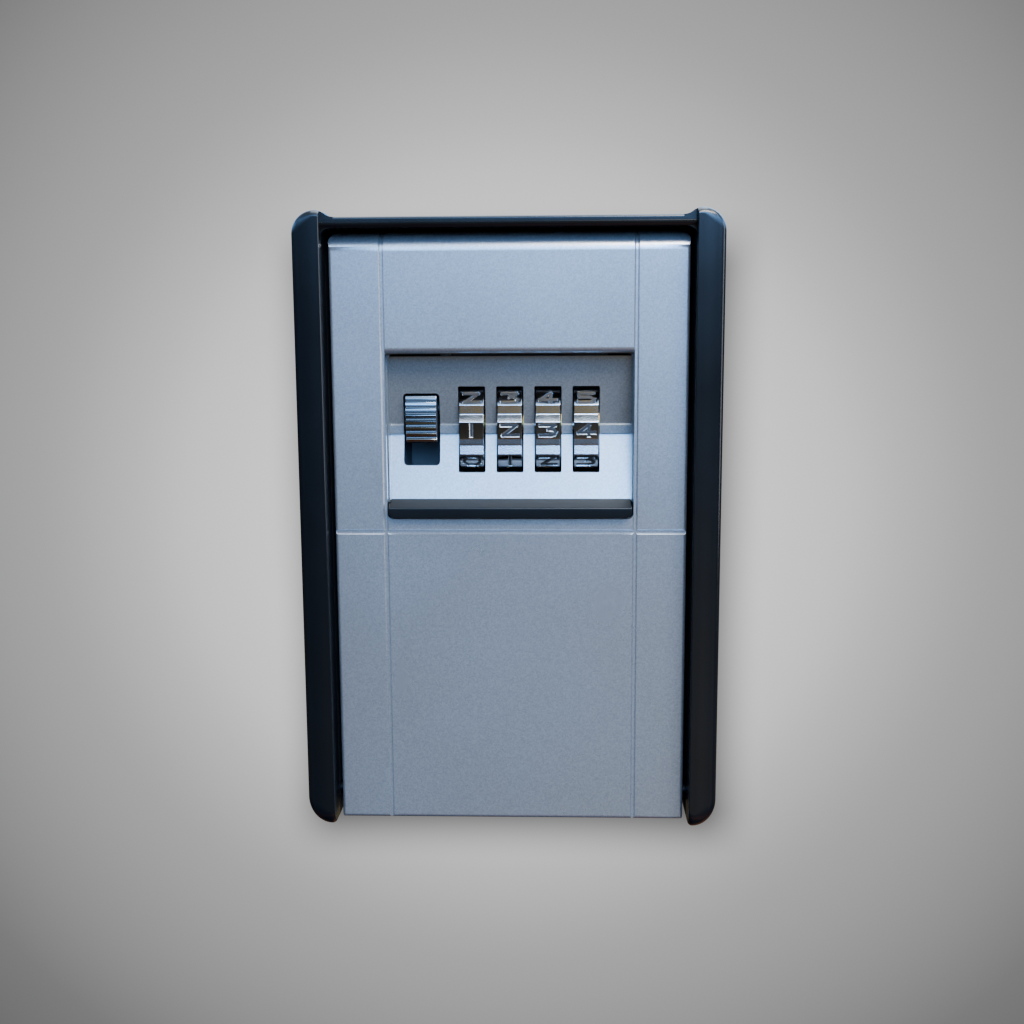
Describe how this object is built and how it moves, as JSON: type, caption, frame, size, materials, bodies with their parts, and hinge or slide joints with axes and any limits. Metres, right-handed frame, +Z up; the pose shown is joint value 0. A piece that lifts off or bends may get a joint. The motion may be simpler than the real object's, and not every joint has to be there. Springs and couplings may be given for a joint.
{
  "type": "key lock box",
  "caption": "Wall-mounted key safe: black case and side rails around a silver drop-down door with a dial window, opening lever and sliding weather cover.",
  "frame": {"origin": "centre of the four wall-screw holes, on the flat back face that meets the wall", "axes": "+X to the right seen from the front, +Y into the wall, +Z up; the front faces -Y"},
  "size_m": [0.083, 0.048, 0.1236],
  "materials": {
    "black_cast": "fine-textured black powder coat on die-cast zinc",
    "black_rail": "semi-gloss black moulded ABS",
    "screw_steel": "zinc-plated steel",
    "strike_steel": "stamped steel, zinc plated",
    "pin_steel": "ground steel",
    "pin_black": "chemically blackened steel",
    "silver_paint": "silver metallic paint with a fine flake on die-cast zinc",
    "silver_plate": "silver metallic paint on die-cast zinc",
    "retainer_steel": "plain stamped sheet steel",
    "brake_felt": "dense grey felt",
    "black_cover": "glossy black moulded ABS",
    "carrier_cast": "black-chromated die-cast zinc",
    "black_inner": "matt black moulded plastic",
    "chrome_lever": "chrome-plated zinc, ribbed",
    "chrome_dial": "chrome-plated zinc, numbers filled black",
    "latch_steel": "stamped steel",
    "spring_steel": "drawn spring wire",
    "spring_brass": "thin phosphor bronze strip",
    "cam_brass": "turned brass",
    "blue_plastic": "blue moulded plastic"
  },
  "bodies": {
    "housing": {"rear_case": "black_cast", "outer_frame": "black_rail", "frame_screws": "screw_steel", "strike_plate": "strike_steel", "strike_screws": "screw_steel", "hinge_pins": "pin_black"},
    "door": {"door_front": "silver_paint", "faceplate": "silver_plate", "faceplate_screws": "screw_steel", "cover_retainer": "retainer_steel", "retainer_screws": "screw_steel", "brake_pad": "brake_felt", "mechanism_carrier": "carrier_cast", "carrier_screws": "screw_steel", "inner_cover": "black_inner", "inner_cover_screws": "screw_steel", "lever_pivot": "pin_steel", "detent_spring": "spring_brass", "latch_spring": "spring_steel"},
    "cover": {"slide_cover": "black_cover"},
    "lever": {"opening_lever": "chrome_lever"},
    "bolt": {"latch_bolt": "latch_steel"},
    "shaft": {"dial_shaft": "pin_steel"},
    "reset": {"reset_lever": "blue_plastic"},
    "dial_body_1": {"dial_1": "chrome_dial", "code_cam_1": "cam_brass"},
    "dial_body_2": {"dial_2": "chrome_dial", "code_cam_2": "cam_brass"},
    "dial_body_3": {"dial_3": "chrome_dial", "code_cam_3": "cam_brass"},
    "dial_body_4": {"dial_4": "chrome_dial", "code_cam_4": "cam_brass"}
  },
  "joints": [
    {"name": "door_hinge", "type": "hinge", "parent": "housing", "child": "door", "pos_m": [0, -0.0385, -0.0565], "axis": [1, 0, 0], "range_deg": [0, 95]},
    {"name": "cover_slide", "type": "slide", "parent": "door", "child": "cover", "axis": [0, 0, 1], "range_m": [0, 0.0288]},
    {"name": "lever_press", "type": "hinge", "parent": "door", "child": "lever", "pos_m": [0, -0.027, 0.0215], "axis": [1, 0, 0], "range_deg": [0, 28], "stiffness_Nm_per_rad": 0.01, "springref_deg": -28.65},
    {"name": "bolt_slide", "type": "slide", "parent": "door", "child": "bolt", "axis": [0, 0, 1], "range_m": [-0.0029, 0], "stiffness_N_per_m": 150, "springref_m": 0.006, "deforming": ["latch_spring"]},
    {"name": "dial_1_turn", "type": "hinge", "parent": "door", "child": "dial_body_1", "pos_m": [0, -0.0285, 0.0189], "axis": [1, 0, 0], "continuous": true},
    {"name": "dial_2_turn", "type": "hinge", "parent": "door", "child": "dial_body_2", "pos_m": [0, -0.0285, 0.0189], "axis": [1, 0, 0], "continuous": true},
    {"name": "dial_3_turn", "type": "hinge", "parent": "door", "child": "dial_body_3", "pos_m": [0, -0.0285, 0.0189], "axis": [1, 0, 0], "continuous": true},
    {"name": "dial_4_turn", "type": "hinge", "parent": "door", "child": "dial_body_4", "pos_m": [0, -0.0285, 0.0189], "axis": [1, 0, 0], "continuous": true},
    {"name": "reset_turn", "type": "hinge", "parent": "door", "child": "reset", "pos_m": [0.0266, -0.012, 0.01777], "axis": [0, 1, 0], "range_deg": [0, 60]},
    {"name": "shaft_shift", "type": "slide", "parent": "door", "child": "shaft", "axis": [1, 0, 0], "range_m": [0, 0.0013]}
  ],
  "couplings": [
    {"joint": "lever_press", "follows": "bolt_slide", "rad_per_m": -168.34},
    {"joint": "reset_turn", "follows": "shaft_shift", "rad_per_m": 805.5}
  ]
}
